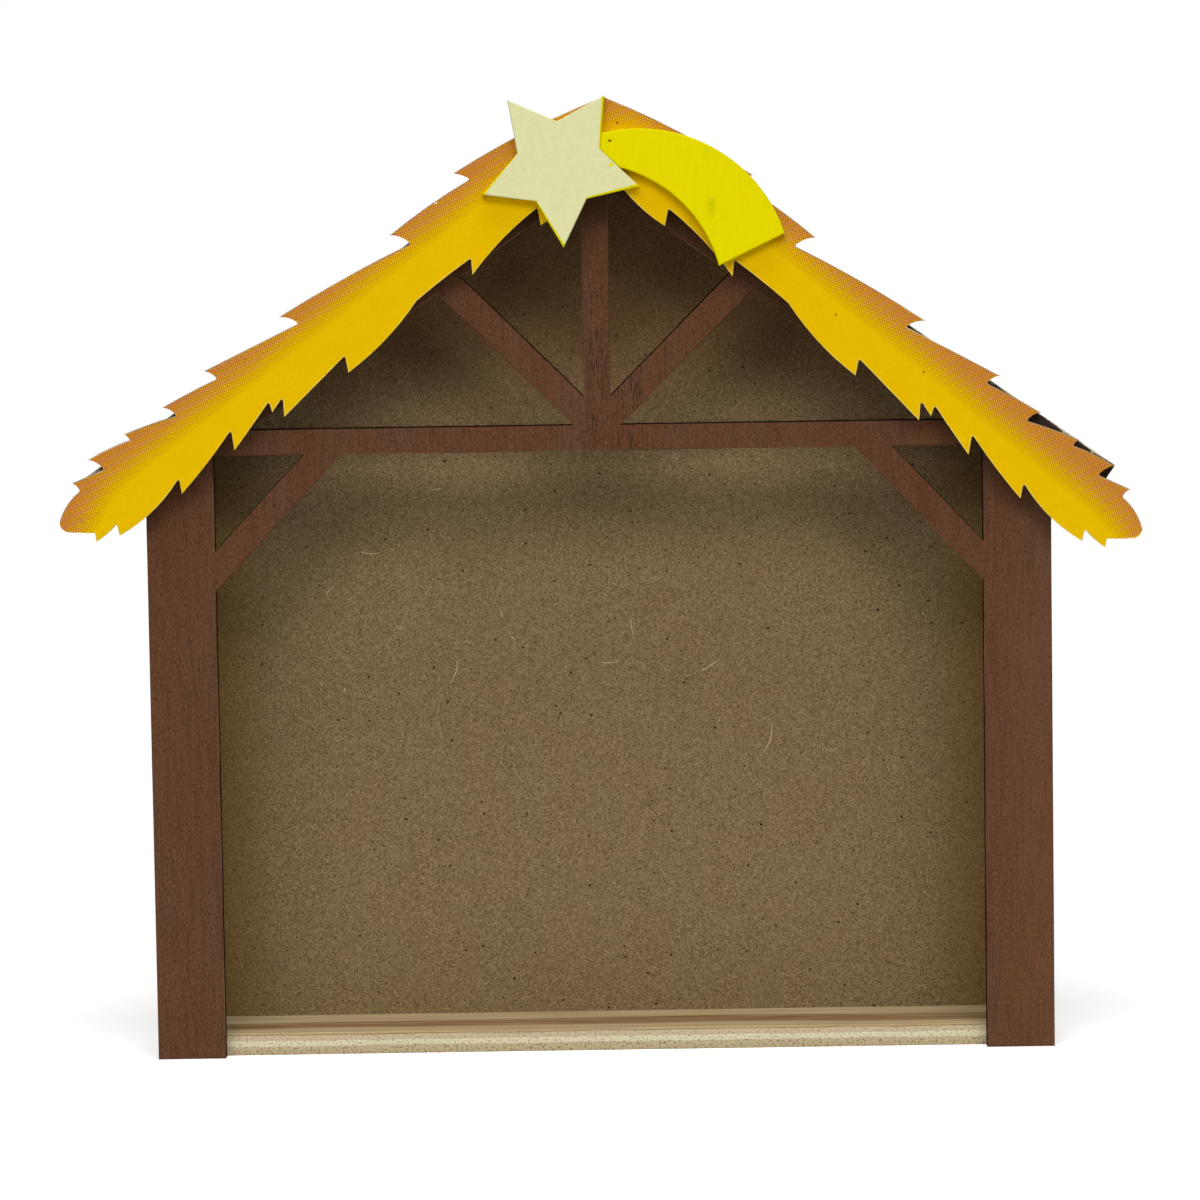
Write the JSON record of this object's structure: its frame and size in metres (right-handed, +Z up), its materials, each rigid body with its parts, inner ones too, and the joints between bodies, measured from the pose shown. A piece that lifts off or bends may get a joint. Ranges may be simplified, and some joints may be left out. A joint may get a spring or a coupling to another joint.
{
  "type": "nativity stable",
  "caption": "Small plywood crib stable with a timber-style cut-out front frame, shallow open room, pitched roof, straw-edged fascia and a comet, for standing figures in.",
  "frame": {"origin": "middle of the footprint at floor level, halfway between the star's front and the panel's back", "axes": "+Z up; the open front faces -Y; +X to the right as seen from the front"},
  "size_m": [0.2689, 0.043, 0.2402],
  "materials": {
    "stained_plywood": "red-brown stain, matt, dark laser-cut edges",
    "bare_plywood": "bare, plies showing at the edges",
    "hardboard": "bare, speckled with fibres",
    "roof_paint": "dark brown paint, worn on the edges",
    "straw_print": "printed straw yellow, shading to orange brown in fine dots",
    "yellow_paint": "flat bright yellow",
    "cream_paint": "pale cream face with yellow edges"
  },
  "bodies": {
    "root": {"front_frame": "stained_plywood", "left_side_wall": "stained_plywood", "right_side_wall": "stained_plywood", "base_board": "bare_plywood", "back_panel": "hardboard", "left_roof_board": "roof_paint", "right_roof_board": "roof_paint", "thatch_fascia": "straw_print", "comet_tail": "yellow_paint", "star": "cream_paint"}
  },
  "joints": []
}
